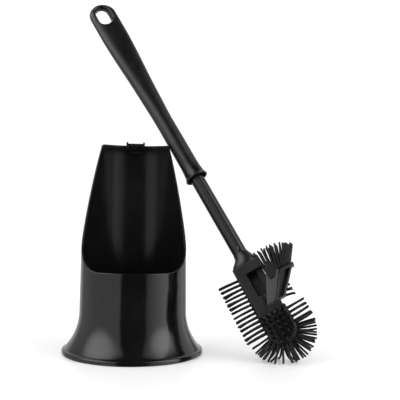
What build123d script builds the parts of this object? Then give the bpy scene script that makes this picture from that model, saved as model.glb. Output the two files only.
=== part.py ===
from build123d import *

import math
import os

# Toilet brush set: a bell-shaped holder with a tall back wall, and the brush that leans beside it.
# Frame: +Z up, origin on the floor at the centre of the holder's round foot, open front facing -Y.
# All lengths are millimetres.

os.makedirs("parts", exist_ok=True)

# ---- holder: driving dimensions ---------------------------------------------------------------
holder_height = 192.7
foot_radius = 64.3
waist_radius = 48.8
waist_height = 38.5
top_radius = 46.4
wall = 2.2
flare_radius = 49.5
lip_height = 4.8
lip_step = 0.9
front_rim_height = 76.0

dish_radius = 61.0
dish_thickness = 2.0
drip_wall_radius = 52.1
drip_wall_thickness = 1.6
drip_wall_height = 12.0
snap_count = 4
snap_width = 12.0
ledge_height = 1.5
ledge_bottom = 3.4
ledge_inner_radius = 56.2

fork_gap = 13.6
fork_arm_thickness = 1.7
fork_arm_height = 5.9
fork_tip_y = 2.0
fork_plate_thickness = 2.0
fork_plate_height = 8.0
fork_hook_rise = 1.9
fork_clearance = 0.15

# ---- brush: driving dimensions, as heights along the brush's own axis --------------------------
# The brush frame has its origin on the axis, level with the centre of the head's round end, +Z
# towards the grip, +X to the side of the rim arm and -Y towards the head's front face.
lean_left = 28.86
lean_back = 25.52
head_turn = -17.7
head_at = (131.5, -43.4, 28.8)

end_radius = 12.3
end_centre = -1.8
shoulder_left = 12.4
shoulder_right = 10.8
core_depth = 18.0
core_top = 65.8
block_top = 22.8
pocket_bottom = 33.5
rail_left_inner = -5.0
rail_right_inner = 4.4
rail_right_outer = 8.2
rail_right_front = -2.0
web_thickness = 3.0
bridge_bottom = 56.5

bristle_length = 18.0
bristle_root_radius = 0.95
bristle_tip_radius = 0.7
bristle_sink = 0.6
bristle_pitch = 4.28
bristle_lane = 4.8
lanes = (-1, 0, 1)
strip_thickness = 1.5
strip_depth = core_depth - 2.0
first_row = 2.6
side_rows = 14
right_rows = 4
rail_rows = 4
rail_lane_y = 5.0
rail_lane_half = 3.6
end_spokes = 12
first_spoke = 11.0
spoke_pitch = 14.4
face_strip_thickness = 1.2
face_bristle_length = 11.0
face_splay = 0.028

arm_tilt = math.radians(7.0)
arm_ridge_top = (22.3, -9.0, 45.5)
arm_right_top = (35.2, -3.2, 43.9)
arm_right_foot = (15.0, -6.0, 22.8)
arm_ridge_foot = (6.4, -9.6, 22.8)
arm_foot_left = -2.5
arm_top_left = 9.5
arm_back = 1.0
arm_rim = 1.6
arm_pocket_depth = 4.5
plate_thickness = 3.0
plate_back = 5.5
finger_front = 8.6
finger_thickness = 2.8
rim_columns = 10
rim_pitch = 2.3
rim_first_column = 12.4
rim_lane = 2.6
rim_lean_first = 3.0
rim_lean_last = 35.0
rim_bristle_length = 23.5

stem_radius = 6.2
stem_bottom = 58.0
stem_shoulder = 174.0
plug_radius = 5.0
plug_length = 34.0
plug_clearance = 0.08
groove_radius = 1.5
neck_top = 78.0

skirt_bottom = 163.4
skirt_radius = 11.2
skirt_wall = 1.5
grip_top = 392.1
hole_bottom = 365.0
hole_top = 387.0
hole_width = 13.0
hole_flare = 20.0

# ---- brush frame ------------------------------------------------------------------------------
axis_up = Vector(-math.tan(math.radians(lean_left)), math.tan(math.radians(lean_back)), 1).normalized()
level_side = (Vector(1, 0, 0) - axis_up * axis_up.X).normalized()
turn_angle = math.radians(head_turn)
side = level_side * math.cos(turn_angle) + axis_up.cross(level_side) * math.sin(turn_angle)
brush = Plane(origin=head_at, x_dir=side, z_dir=axis_up)
brush_front = Plane(origin=brush.origin, x_dir=brush.x_dir, z_dir=-brush.y_dir)
brush_right = Plane(origin=brush.origin, x_dir=brush.y_dir, z_dir=brush.x_dir)
# the grip's flat face is not turned with the head
grip_frame = Plane(origin=head_at, x_dir=level_side, z_dir=axis_up)
grip_front = Plane(origin=grip_frame.origin, x_dir=grip_frame.x_dir, z_dir=-grip_frame.y_dir)


def finish(part, name):
    """Labels one finished piece and writes its STEP file."""
    part.label = name
    export_step(part, f"parts/{name}.step")


# ---- holder shell -----------------------------------------------------------------------------
flare_centre_r = waist_radius + flare_radius
inner_flare = flare_radius + wall
lip_inner_radius = foot_radius - 2.8


def flare_r(radius, z):
    """Radius of the bell at height z on the flare arc of the given radius."""
    return flare_centre_r - math.sqrt(radius**2 - (waist_height - z) ** 2)


inner_start_z = waist_height - math.sqrt(inner_flare**2 - (flare_centre_r - lip_inner_radius) ** 2)
lip_top_r = flare_r(flare_radius, lip_height)
mid_z = 14.0

with BuildPart() as holder_shell:
    with BuildSketch(Plane.XZ) as bell_profile:
        with BuildLine() as bell_line:
            Line((lip_inner_radius, 0), (foot_radius - 0.5, 0))
            Line((foot_radius - 0.5, 0), (foot_radius, 0.6))
            Line((foot_radius, 0.6), (foot_radius - 0.3, lip_height - lip_step))
            ThreePointArc(
                (foot_radius - 0.3, lip_height - lip_step),
                (foot_radius - 0.6, lip_height - 0.25),
                (lip_top_r, lip_height),
            )
            ThreePointArc(
                (lip_top_r, lip_height),
                (flare_r(flare_radius, mid_z), mid_z),
                (waist_radius, waist_height),
            )
            Line((waist_radius, waist_height), (top_radius, holder_height))
            Line((top_radius, holder_height), (top_radius - wall, holder_height))
            Line((top_radius - wall, holder_height), (waist_radius - wall, waist_height))
            ThreePointArc(
                (waist_radius - wall, waist_height),
                (flare_r(inner_flare, mid_z), mid_z),
                (lip_inner_radius, inner_start_z),
            )
            Line((lip_inner_radius, inner_start_z), (lip_inner_radius, 0))
        make_face()
    revolve(axis=Axis.Z)
    # The scoop: low and level across the front, then up both sides to the tall back.
    with BuildSketch(Plane.YZ) as scoop:
        with BuildLine():
            Line((-80, front_rim_height), (-38, front_rim_height))
            Spline(
                (-38, front_rim_height),
                (-24.7, 79.6),
                (-12.0, 88.5),
                (0.0, 100.6),
                (12.7, 122.5),
                (24.1, 156.6),
                (32.3, 188.9),
                tangents=((1, 0), (0.25, 1)),
            )
            TangentArc((32.3, 188.9), (34.9, holder_height + 0.1), tangent=(0.25, 1))
            Line((34.9, holder_height + 0.1), (34.9, 230))
            Line((34.9, 230), (-80, 230))
            Line((-80, 230), (-80, front_rim_height))
        make_face()
    extrude(amount=100, both=True, mode=Mode.SUBTRACT)
    # Ledges that the base dish snaps over.
    with BuildSketch(Plane.XY.offset(ledge_bottom)) as ledges:
        with PolarLocations(0, snap_count, start_angle=45):
            with Locations(((ledge_inner_radius + 60.2) / 2, 0)):
                Rectangle(60.2 - ledge_inner_radius, snap_width)
    extrude(amount=ledge_height)
finish(holder_shell.part, "holder_shell")

# ---- base dish: closes the shell from below and catches the drips -----------------------------
tongue_inner = 53.6
tongue_outer = 55.2
hook_reach = 56.9
hook_bottom = ledge_bottom + ledge_height + 0.3
hook_top = hook_bottom + 1.6

with BuildPart() as base_dish:
    Cylinder(dish_radius, dish_thickness, align=(Align.CENTER, Align.CENTER, Align.MIN))
    with BuildSketch(Plane.XY.offset(dish_thickness)) as drip_ring:
        Circle(drip_wall_radius)
        Circle(drip_wall_radius - drip_wall_thickness, mode=Mode.SUBTRACT)
    extrude(amount=drip_wall_height - dish_thickness)
    with BuildSketch(Plane.XY.offset(dish_thickness)) as tongues:
        with PolarLocations(0, snap_count, start_angle=45):
            with Locations(((tongue_inner + tongue_outer) / 2, 0)):
                Rectangle(tongue_outer - tongue_inner, snap_width - 3)
    extrude(amount=hook_top - dish_thickness)
    with BuildSketch(Plane.XY.offset(hook_bottom)) as hooks:
        with PolarLocations(0, snap_count, start_angle=45):
            with Locations(((tongue_inner + hook_reach) / 2, 0)):
                Rectangle(hook_reach - tongue_inner, snap_width - 3)
    extrude(amount=hook_top - hook_bottom)
finish(base_dish.part, "base_dish")

# ---- stem fork: clips over the top of the back wall and hangs the brush by its stem -----------
plate_half = fork_gap / 2 + fork_arm_thickness
inner_wall_y = math.sqrt((top_radius - wall) ** 2 - plate_half**2)
fork_back = inner_wall_y - fork_clearance
fork_front = fork_back - fork_plate_thickness
fork_top = holder_height
clip_top = holder_height + fork_hook_rise
clip_back = top_radius + 0.25 + 1.6
clip_front_of_back = top_radius + 0.25

with BuildPart() as stem_fork:
    with BuildSketch(Plane.XY.offset(fork_top - fork_plate_height)) as fork_plate:
        with Locations((0, (fork_front + fork_back) / 2)):
            Rectangle(2 * plate_half, fork_plate_thickness)
    extrude(amount=fork_plate_height + fork_hook_rise)
    with BuildSketch(Plane.XY.offset(fork_top - fork_arm_height)) as fork_arms:
        for sign in (-1, 1):
            with Locations((sign * (fork_gap + fork_arm_thickness) / 2, (fork_tip_y + fork_front) / 2)):
                Rectangle(fork_arm_thickness, fork_front - fork_tip_y)
    extrude(amount=fork_arm_height)
    # bridge over the wall and the lip that grips its outside
    with BuildSketch(Plane.XY.offset(holder_height + fork_clearance)) as fork_bridge:
        with Locations((0, (fork_front + clip_back) / 2)):
            Rectangle(fork_gap - 0.6, clip_back - fork_front)
    extrude(amount=fork_hook_rise - fork_clearance)
    with BuildSketch(Plane.XY.offset(fork_top - 5.0)) as fork_lip:
        with Locations((0, (clip_front_of_back + clip_back) / 2)):
            Rectangle(fork_gap - 0.6, clip_back - clip_front_of_back)
    extrude(amount=clip_top - fork_top + 5.0)
    # three stiffening ribs on the front of the plate
    with BuildSketch(Plane.XY.offset(fork_top - fork_plate_height)) as fork_ribs:
        with Locations((0, fork_front - 0.4)):
            with GridLocations(3.6, 0, 3, 1):
                Rectangle(1.1, 0.8)
    extrude(amount=fork_plate_height + 1.0)
finish(stem_fork.part, "stem_fork")

# ---- grip: one long moulding with a hanging hole and a hollow skirt ---------------------------
grip_sections = (
    (171.5, 8.5, 8.5),
    (184.5, 8.2, 8.2),
    (208.5, 8.15, 8.0),
    (233.5, 8.1, 7.6),
    (259.5, 9.0, 7.2),
    (283.5, 10.0, 6.9),
    (315.5, 11.85, 6.4),
    (341.5, 13.1, 5.8),
    (369.5, 13.35, 5.2),
)
cap_radius = 13.35
cap_depth = 5.2
cap_centre = grip_top - cap_radius
cap_steps = (0.25, 0.55, 0.8, 0.94, 0.995)
skirt_top = skirt_bottom + 12.1

with BuildPart() as grip:
    for height, half_width, half_depth in grip_sections:
        with BuildSketch(grip_frame.offset(height)):
            Ellipse(half_width, half_depth)
    for step in cap_steps:
        with BuildSketch(grip_frame.offset(cap_centre + cap_radius * step)):
            Ellipse(cap_radius * math.sqrt(1 - step**2), cap_depth * math.sqrt(1 - step**2) ** 0.7)
    loft()
    with BuildSketch(brush_right) as skirt_profile:
        with BuildLine():
            Line((0, skirt_top), (8.4, skirt_top))
            Spline(
                (8.4, skirt_top),
                (9.2, skirt_bottom + 5.6),
                (skirt_radius, skirt_bottom + 0.6),
                tangents=((0, -1), (0.5, -1)),
            )
            Line((skirt_radius, skirt_bottom + 0.6), (skirt_radius - 0.4, skirt_bottom))
            Line((skirt_radius - 0.4, skirt_bottom), (0, skirt_bottom))
            Line((0, skirt_bottom), (0, skirt_top))
        make_face()
    revolve(axis=Axis(brush.origin, brush.z_dir))
    with BuildSketch(brush_right) as skirt_hollow:
        with BuildLine():
            Polyline(
                (0, skirt_bottom),
                (skirt_radius - skirt_wall, skirt_bottom),
                (stem_radius + 0.35, stem_shoulder - 1.0),
                (stem_radius + 0.35, stem_shoulder + 0.2),
                (plug_radius + plug_clearance, stem_shoulder + 0.2),
                (plug_radius + plug_clearance, stem_shoulder + plug_length + 1.0),
                (0, stem_shoulder + plug_length + 1.0),
                (0, skirt_bottom),
            )
        make_face()
    revolve(axis=Axis(brush.origin, brush.z_dir), mode=Mode.SUBTRACT)
    with BuildSketch(grip_front) as hanging_hole:
        with Locations((0, (hole_bottom + hole_top) / 2)):
            SlotOverall(hole_top - hole_bottom, hole_width, rotation=90)
    for way in (1, -1):
        extrude(hanging_hole.sketch, amount=8 * way, taper=-hole_flare, mode=Mode.SUBTRACT)
finish(grip.part, "grip")

# ---- stem: grooved shaft, plugged into the grip above and the head below ----------------------
with BuildPart() as stem:
    with BuildSketch(brush.offset(stem_bottom)):
        Circle(stem_radius)
    extrude(amount=stem_shoulder - stem_bottom)
    with BuildSketch(brush.offset(stem_shoulder)):
        Circle(plug_radius)
    extrude(amount=plug_length)
    with BuildSketch(brush.offset(neck_top + 3)):
        with PolarLocations(stem_radius + 0.35, 2, start_angle=-90):
            Circle(groove_radius)
    extrude(amount=skirt_bottom - neck_top - 6, mode=Mode.SUBTRACT)
    chamfer(stem.faces().sort_by(Axis(brush.origin, brush.z_dir))[-1].edges(), 0.8)
finish(stem.part, "stem")

# ---- neck cap: the domed shoulder between stem and head ---------------------------------------
neck_sections = (
    (core_top, -0.6, 11.3, 9.3),
    (core_top + 3.0, -0.5, 10.9, 9.1),
    (core_top + 7.6, 0.2, 8.6, 8.0),
    (neck_top, 0.0, stem_radius + 0.9, stem_radius + 0.9),
)
with BuildPart() as neck_cap:
    for height, centre, half_width, half_depth in neck_sections:
        with BuildSketch(brush.offset(height)):
            with Locations((centre, 0)):
                Ellipse(half_width, half_depth)
    loft()
    with BuildSketch(brush.offset(core_top)):
        Circle(stem_radius)
    extrude(amount=neck_top - core_top, mode=Mode.SUBTRACT)
finish(neck_cap.part, "neck_cap")

# ---- head core: the hard frame that carries the soft bristle strips ---------------------------
end_left = end_centre - end_radius
end_right = end_centre + end_radius
with BuildPart() as head_core:
    with BuildSketch(brush_front) as core_outline:
        with BuildLine():
            Line((-shoulder_left, core_top), (end_left, 0))
            ThreePointArc((end_left, 0), (end_centre, -end_radius), (end_right, 0))
            Line((end_right, 0), (end_right, block_top))
            Line((end_right, block_top), (rail_right_outer, block_top))
            Line((rail_right_outer, block_top), (rail_right_outer, bridge_bottom))
            Line((rail_right_outer, bridge_bottom), (shoulder_right, bridge_bottom + 5))
            Line((shoulder_right, bridge_bottom + 5), (shoulder_right, core_top))
            Line((shoulder_right, core_top), (-shoulder_left, core_top))
        make_face()
    extrude(amount=core_depth / 2, both=True)
    # blind pocket between the two rails, closed by a web at the back
    with BuildSketch(brush_front.offset(core_depth / 2)) as pocket:
        with Locations(((rail_left_inner + rail_right_inner) / 2, (pocket_bottom + bridge_bottom) / 2)):
            Rectangle(rail_right_inner - rail_left_inner, bridge_bottom - pocket_bottom)
    extrude(amount=-(core_depth - web_thickness), mode=Mode.SUBTRACT)
    # the right rail is set back to leave room for the rim arm
    with BuildSketch(brush_front.offset(core_depth / 2)) as rail_recess:
        with Locations(((arm_foot_left - 0.5 + end_right) / 2, (block_top + bridge_bottom) / 2)):
            Rectangle(end_right - arm_foot_left + 0.5, bridge_bottom - block_top)
    extrude(amount=-(core_depth / 2 + rail_right_front), mode=Mode.SUBTRACT)
    with BuildSketch(brush.offset(core_top)):
        Circle(stem_radius)
    extrude(amount=-(core_top - stem_bottom), mode=Mode.SUBTRACT)
finish(head_core.part, "head_core")


def at(x, y, z):
    """The point at brush coordinates x, y, z."""
    return brush.origin + toward(x, y, z)


def toward(x, y, z):
    """The direction with brush components x, y, z."""
    return brush.x_dir * x + brush.y_dir * y + brush.z_dir * z


def root(point, direction):
    """Where a bristle stands: its root in brush coordinates, and the way it points."""
    return Plane(origin=at(*point), z_dir=toward(*direction)).location


def reach(start, way, length):
    """Length of a bristle from its root, cut short where it would pass through the floor."""
    drop = -toward(*way).normalized().Z
    return min(length, (at(*start).Z - bristle_tip_radius) / drop) if drop > 0 else length


def bristles(stand, length):
    """Adds a tapered bristle at every root and direction, its foot sunk into the strip it grows from."""
    for start, way in stand:
        with Locations(root(start, way)):
            Cone(
                bristle_root_radius,
                bristle_tip_radius,
                reach(start, way, length + bristle_sink),
                align=(Align.CENTER, Align.CENTER, Align.MIN),
            )


# ---- bristle strips: soft mouldings seated on the faces of the core ---------------------------
edge_angle = math.atan2(-end_left - shoulder_left, core_top)
edge_up = (math.sin(edge_angle), 0, math.cos(edge_angle))
edge_out = (-math.cos(edge_angle), 0, math.sin(edge_angle))
left_face = Plane(origin=at(end_left, 0, 0), x_dir=toward(*edge_up), z_dir=toward(*edge_out))
right_face = Plane(origin=at(end_right, 0, 0), x_dir=toward(0, 0, 1), z_dir=toward(1, 0, 0))
rail_face = Plane(origin=at(rail_right_outer, 0, 0), x_dir=toward(0, 0, 1), z_dir=toward(1, 0, 0))
root_depth = strip_thickness - bristle_sink


def row_height(row, lane):
    """Height of a bristle: each lane is stepped a little against the next."""
    return first_row + (row + 0.25 * lane) * bristle_pitch


with BuildPart() as left_bristles:
    with BuildSketch(left_face):
        with Locations((row_height((side_rows - 1) / 2, 0), 0)):
            Rectangle(side_rows * bristle_pitch, strip_depth)
    extrude(amount=strip_thickness)
    left_stand = []
    for row in range(side_rows):
        for lane in lanes:
            rise = row_height(row, lane)
            x = end_left + rise * edge_up[0] + root_depth * edge_out[0]
            z = rise * edge_up[2] + root_depth * edge_out[2]
            left_stand.append(((x, lane * bristle_lane, z), edge_out))
    bristles(left_stand, bristle_length)
finish(left_bristles.part, "left_bristles")

with BuildPart() as right_bristles:
    with BuildSketch(right_face):
        with Locations((row_height((right_rows - 1) / 2, 0), 0)):
            Rectangle(right_rows * bristle_pitch, strip_depth)
    extrude(amount=strip_thickness)
    right_stand = [
        ((end_right + root_depth, lane * bristle_lane, row_height(row, lane)), (1, 0, 0))
        for row in range(right_rows)
        for lane in lanes
    ]
    bristles(right_stand, bristle_length)
finish(right_bristles.part, "right_bristles")

with BuildPart() as rail_bristles:
    with BuildSketch(rail_face):
        with Locations((block_top + 0.6 + rail_rows * bristle_pitch / 2, -rail_lane_y)):
            Rectangle(rail_rows * bristle_pitch, 2 * rail_lane_half)
    extrude(amount=strip_thickness)
    rail_stand = [
        (
            (
                rail_right_outer + root_depth,
                rail_lane_y + lane,
                block_top + 0.6 + (row + 0.5) * bristle_pitch,
            ),
            (1, 0, 0),
        )
        for row in range(rail_rows)
        for lane in (-1.9, 1.9)
    ]
    bristles(rail_stand, bristle_length - 2)
finish(rail_bristles.part, "rail_bristles")

strip_radius = end_radius + strip_thickness
with BuildPart() as end_bristles:
    with BuildSketch(brush_front):
        with BuildLine():
            ThreePointArc(
                (end_centre - strip_radius, 0), (end_centre, -strip_radius), (end_centre + strip_radius, 0)
            )
            Line((end_centre + strip_radius, 0), (end_right, 0))
            ThreePointArc((end_right, 0), (end_centre, -end_radius), (end_left, 0))
            Line((end_left, 0), (end_centre - strip_radius, 0))
        make_face()
    extrude(amount=strip_depth / 2, both=True)
    end_stand = []
    for spoke in range(end_spokes):
        for lane in lanes:
            turn = math.radians(first_spoke + (spoke + 0.3 * lane) * spoke_pitch)
            way = (-math.cos(turn), 0, -math.sin(turn))
            start = (end_radius + root_depth) * Vector(*way)
            end_stand.append(((end_centre + start.X, lane * bristle_lane, start.Z), way))
    bristles(end_stand, bristle_length)
finish(end_bristles.part, "end_bristles")

face_pad_height = 30.0
face_middle = (end_centre, 5.5)
with BuildPart() as front_bristles:
    with BuildSketch(brush_front.offset(core_depth / 2)):
        with Locations(face_middle):
            RectangleRounded(2 * end_radius - 3, face_pad_height, 6.0)
    extrude(amount=face_strip_thickness)
    front_stand = []
    for column in (-1.5, -0.5, 0.5, 1.5):
        for row in (-2.5, -1.5, -0.5, 0.5, 1.5, 2.5):
            dx = 5.0 * column
            dz = 4.8 * row
            front_stand.append(
                (
                    (face_middle[0] + dx, -core_depth / 2 - 0.6, face_middle[1] + dz),
                    (face_splay * dx, -1, face_splay * dz),
                )
            )
    bristles(front_stand, face_bristle_length)
finish(front_bristles.part, "front_bristles")

back_pad_height = 62.0
back_middle = (end_centre, 24.0)
with BuildPart() as back_bristles:
    with BuildSketch(brush_front.offset(-core_depth / 2)):
        with Locations(back_middle):
            RectangleRounded(16.0, back_pad_height, 5.0)
    extrude(amount=-face_strip_thickness)
    back_stand = [
        (
            (back_middle[0] + 5.2 * column, core_depth / 2 + 0.6, back_middle[1] + 5.9 * row),
            (0.15 * column, 1, 0),
        )
        for column in (-1, 0, 1)
        for row in (-4.5, -3.5, -2.5, -1.5, -0.5, 0.5, 1.5, 2.5, 3.5, 4.5)
    ]
    bristles(back_stand, face_bristle_length)
finish(back_bristles.part, "back_bristles")

# ---- rim arm: a hollow wedge that springs from the block and reaches under the bowl's rim ------
arm_top = Plane(
    origin=at(arm_ridge_top[0], 0, arm_ridge_top[2]),
    x_dir=toward(math.cos(arm_tilt), 0, -math.sin(arm_tilt)),
    z_dir=toward(math.sin(arm_tilt), 0, math.cos(arm_tilt)),
)
arm_foot = Plane(origin=at(0, 0, block_top), x_dir=brush.x_dir, z_dir=brush.z_dir)
top_left = (arm_top_left - arm_ridge_top[0]) / math.cos(arm_tilt)
top_right = (arm_right_top[0] - arm_ridge_top[0]) / math.cos(arm_tilt)
face_corners = [at(*corner) for corner in (arm_ridge_top, arm_right_top, arm_right_foot, arm_ridge_foot)]
arm_face = Plane(
    origin=face_corners[0],
    x_dir=face_corners[1] - face_corners[0],
    z_dir=(face_corners[3] - face_corners[0]).cross(face_corners[1] - face_corners[0]),
)
face_outline = [(local.X, local.Y) for local in map(arm_face.to_local_coords, face_corners)]
rail_side = rail_right_outer + 0.4
rail_front = rail_right_front - 0.6

with BuildPart() as rim_arm:
    with BuildSketch(arm_foot):
        with BuildLine():
            Polyline(
                (arm_foot_left, rail_front),
                (arm_foot_left, -8.6),
                (arm_ridge_foot[0], arm_ridge_foot[1]),
                (arm_right_foot[0], arm_right_foot[1]),
                (arm_right_foot[0], arm_back),
                (rail_side, arm_back),
                (rail_side, rail_front),
                close=True,
            )
        make_face()
    with BuildSketch(arm_top):
        with BuildLine():
            Polyline(
                (top_left, rail_front),
                (top_left, -6.5),
                (0, arm_ridge_top[1]),
                (top_right, arm_right_top[1]),
                (top_right, arm_back),
                (top_left + 1.2, arm_back),
                (top_left + 1.2, rail_front),
                close=True,
            )
        make_face()
    loft(ruled=True)
    # the plate across the top, deep enough for the rim bristles
    with BuildSketch(arm_top):
        with BuildLine():
            Polyline(
                (top_left, plate_back),
                (top_left, -6.5),
                (0, arm_ridge_top[1]),
                (top_right, arm_right_top[1]),
                (top_right, plate_back),
                close=True,
            )
        make_face()
    extrude(amount=-plate_thickness)
    # the finger: the front face carried up past the plate
    with BuildSketch(brush_front.offset(finger_front)):
        with BuildLine():
            Line((arm_top_left + 2.4, 42.0), (arm_top_left + 1.6, 50.0))
            Spline(
                (arm_top_left + 1.6, 50.0),
                (13.8, 54.4),
                (17.4, 55.4),
                (20.6, 53.0),
                (21.8, 47.0),
                tangents=((0.1, 1), (0.05, -1)),
            )
            Line((21.8, 47.0), (20.4, 42.0))
            Line((20.4, 42.0), (arm_top_left + 2.4, 42.0))
        make_face()
    extrude(amount=-finger_thickness)
    # the pocket in its right face
    with BuildSketch(arm_face):
        with BuildLine():
            Polyline(*face_outline, close=True)
        make_face()
        offset(amount=-arm_rim, kind=Kind.INTERSECTION)
    extrude(amount=-arm_pocket_depth, mode=Mode.SUBTRACT)
finish(rim_arm.part, "rim_arm")

with BuildPart() as rim_bristles:
    with BuildSketch(arm_top):
        with Locations(((top_left + top_right) / 2 + 0.4, 0.9)):
            RectangleRounded(top_right - top_left - 2.0, 3 * rim_lane, 1.6)
    extrude(amount=face_strip_thickness)
    rim_stand = []
    for column in range(rim_columns):
        for lane in lanes:
            share = column / (rim_columns - 1)
            lean = math.radians(rim_lean_first + (rim_lean_last - rim_lean_first) * share)
            x = rim_first_column + (column + 0.3 * lane) * rim_pitch
            z = arm_ridge_top[2] - (x - arm_ridge_top[0]) * math.tan(arm_tilt) + 0.6
            rim_stand.append(((x, 0.9 + rim_lane * lane, z), (math.sin(lean), 0.06 * lane, math.cos(lean))))
    bristles(rim_stand, rim_bristle_length)
finish(rim_bristles.part, "rim_bristles")
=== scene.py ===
import math
import random

import bpy
import numpy as np
from mathutils import Matrix, Vector


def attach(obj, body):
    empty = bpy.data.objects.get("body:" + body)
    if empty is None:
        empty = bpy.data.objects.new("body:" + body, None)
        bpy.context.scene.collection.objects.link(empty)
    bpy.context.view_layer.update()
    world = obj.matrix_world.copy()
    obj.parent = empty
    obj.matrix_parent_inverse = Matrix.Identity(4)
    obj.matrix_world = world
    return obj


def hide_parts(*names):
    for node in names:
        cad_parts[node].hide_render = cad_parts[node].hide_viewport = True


# Toilet brush set in black plastic. The CAD frame gives every size and place: +Z up, the holder's
# foot centred on the origin, its open front facing -Y, the brush leaning on the +X side.
# Shapes below are worked out in millimetres and written in metres.
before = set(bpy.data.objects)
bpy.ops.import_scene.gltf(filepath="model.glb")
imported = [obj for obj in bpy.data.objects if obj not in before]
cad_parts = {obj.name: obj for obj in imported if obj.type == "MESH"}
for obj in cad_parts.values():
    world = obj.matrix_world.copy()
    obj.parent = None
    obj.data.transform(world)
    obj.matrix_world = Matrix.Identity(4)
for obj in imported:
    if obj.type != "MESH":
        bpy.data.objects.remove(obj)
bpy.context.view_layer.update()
MM = 0.001
chance = random.Random(7)


# ---- mesh helpers ------------------------------------------------------------------------------
def new_piece(name, points, faces):
    """A smooth-shaded mesh object from points in millimetres in the row frame."""
    mesh = bpy.data.meshes.new(name)
    mesh.from_pydata((np.asarray(points, float) * MM).tolist(), [], [list(map(int, f)) for f in faces])
    mesh.update()
    mesh.polygons.foreach_set("use_smooth", [True] * len(mesh.polygons))
    piece = bpy.data.objects.new(name, mesh)
    bpy.context.scene.collection.objects.link(piece)
    return piece


def tube_faces(rows, columns, start=0):
    """Quads of a closed tube of rows of points, each row having the same number of columns."""
    faces = []
    for row in range(rows - 1):
        for column in range(columns):
            after = (column + 1) % columns
            low, high = start + row * columns, start + (row + 1) * columns
            faces.append((low + column, low + after, high + after, high + column))
    return faces


def capped_tube(rows, columns, start=0):
    """Faces of a tube with both of its ends closed."""
    last = start + (rows - 1) * columns
    faces = tube_faces(rows, columns, start)
    faces.append(tuple(reversed(range(start, start + columns))))
    faces.append(tuple(range(last, last + columns)))
    return faces


def bake_modifiers(piece):
    """Turns the piece's modifiers into its mesh."""
    graph = bpy.context.evaluated_depsgraph_get()
    mesh = bpy.data.meshes.new_from_object(piece.evaluated_get(graph))
    piece.modifiers.clear()
    piece.data = mesh
    mesh.polygons.foreach_set("use_smooth", [True] * len(mesh.polygons))


def round_edges(piece, voxel, steps, factor=0.5):
    """Rebuilds the piece as one even skin and relaxes it, which rounds every edge as a mould does."""
    remesh = piece.modifiers.new("skin", "REMESH")
    remesh.mode = "VOXEL"
    remesh.voxel_size = voxel * MM
    relax = piece.modifiers.new("relax", "SMOOTH")
    relax.factor = factor
    relax.iterations = steps
    bake_modifiers(piece)


def copy_of(node, name):
    """A free copy of a CAD node's mesh, to be finished as a moulded piece."""
    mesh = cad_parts[node].data.copy()
    mesh.materials.clear()
    piece = bpy.data.objects.new(name, mesh)
    bpy.context.scene.collection.objects.link(piece)
    return piece


def join(name, pieces):
    """One object from several."""
    points, faces = [], []
    for piece in pieces:
        start = len(points)
        points.extend(tuple(piece.matrix_world @ v.co) for v in piece.data.vertices)
        faces.extend([start + i for i in p.vertices] for p in piece.data.polygons)
        bpy.data.objects.remove(piece)
    return new_piece(name, np.asarray(points) / MM, faces)


def smooth_step(low, high, x):
    """0 below low, 1 above high and smooth between."""
    t = np.clip((x - low) / (high - low), 0, 1)
    return t * t * (3 - 2 * t)


def curve_through(x, xs, ys, slopes):
    """A smooth curve through the points xs, ys, with the given slopes there."""
    i = np.clip(np.searchsorted(xs, x) - 1, 0, len(xs) - 2)
    width = xs[i + 1] - xs[i]
    t = np.clip((x - xs[i]) / width, 0, 1)
    return (
        (2 * t**3 - 3 * t**2 + 1) * ys[i]
        + (t**3 - 2 * t**2 + t) * width * slopes[i]
        + (3 * t**2 - 2 * t**3) * ys[i + 1]
        + (t**3 - t**2) * width * slopes[i + 1]
    )


def rounded_oblong(half_width, half_depth, power, columns):
    """Outline of an oblong about the origin: power 2 is an ellipse, more is squarer."""
    turn = np.linspace(0, 2 * math.pi, columns, endpoint=False)
    x = half_width * np.sign(np.cos(turn)) * np.abs(np.cos(turn)) ** (2 / power)
    y = half_depth * np.sign(np.sin(turn)) * np.abs(np.sin(turn)) ** (2 / power)
    return np.stack([x, y], 1)


# ---- the brush's own frame ---------------------------------------------------------------------
# Origin on the brush's axis level with the centre of the head's round end, +Z towards the grip,
# +X to the side of the rim arm, -Y towards the head's front.
LEAN_LEFT, LEAN_BACK, HEAD_TURN = math.radians(28.86), math.radians(25.52), math.radians(-17.7)
HEAD_AT = Vector((131.5, -43.4, 28.8))
axis_up = Vector((-math.tan(LEAN_LEFT), math.tan(LEAN_BACK), 1)).normalized()
level_side = (Vector((1, 0, 0)) - axis_up * axis_up.x).normalized()
side = level_side * math.cos(HEAD_TURN) + axis_up.cross(level_side) * math.sin(HEAD_TURN)
BRUSH = np.array([side, axis_up.cross(side), axis_up], float)
GRIP = np.array([level_side, axis_up.cross(level_side), axis_up], float)


def placed(points, turned=BRUSH):
    """Brush coordinates to the row frame, in millimetres; the grip has its own turn."""
    return np.asarray(points, float) @ turned + np.array(HEAD_AT)


# ---- materials ---------------------------------------------------------------------------------
PLASTIC_IOR = 1.49


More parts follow.
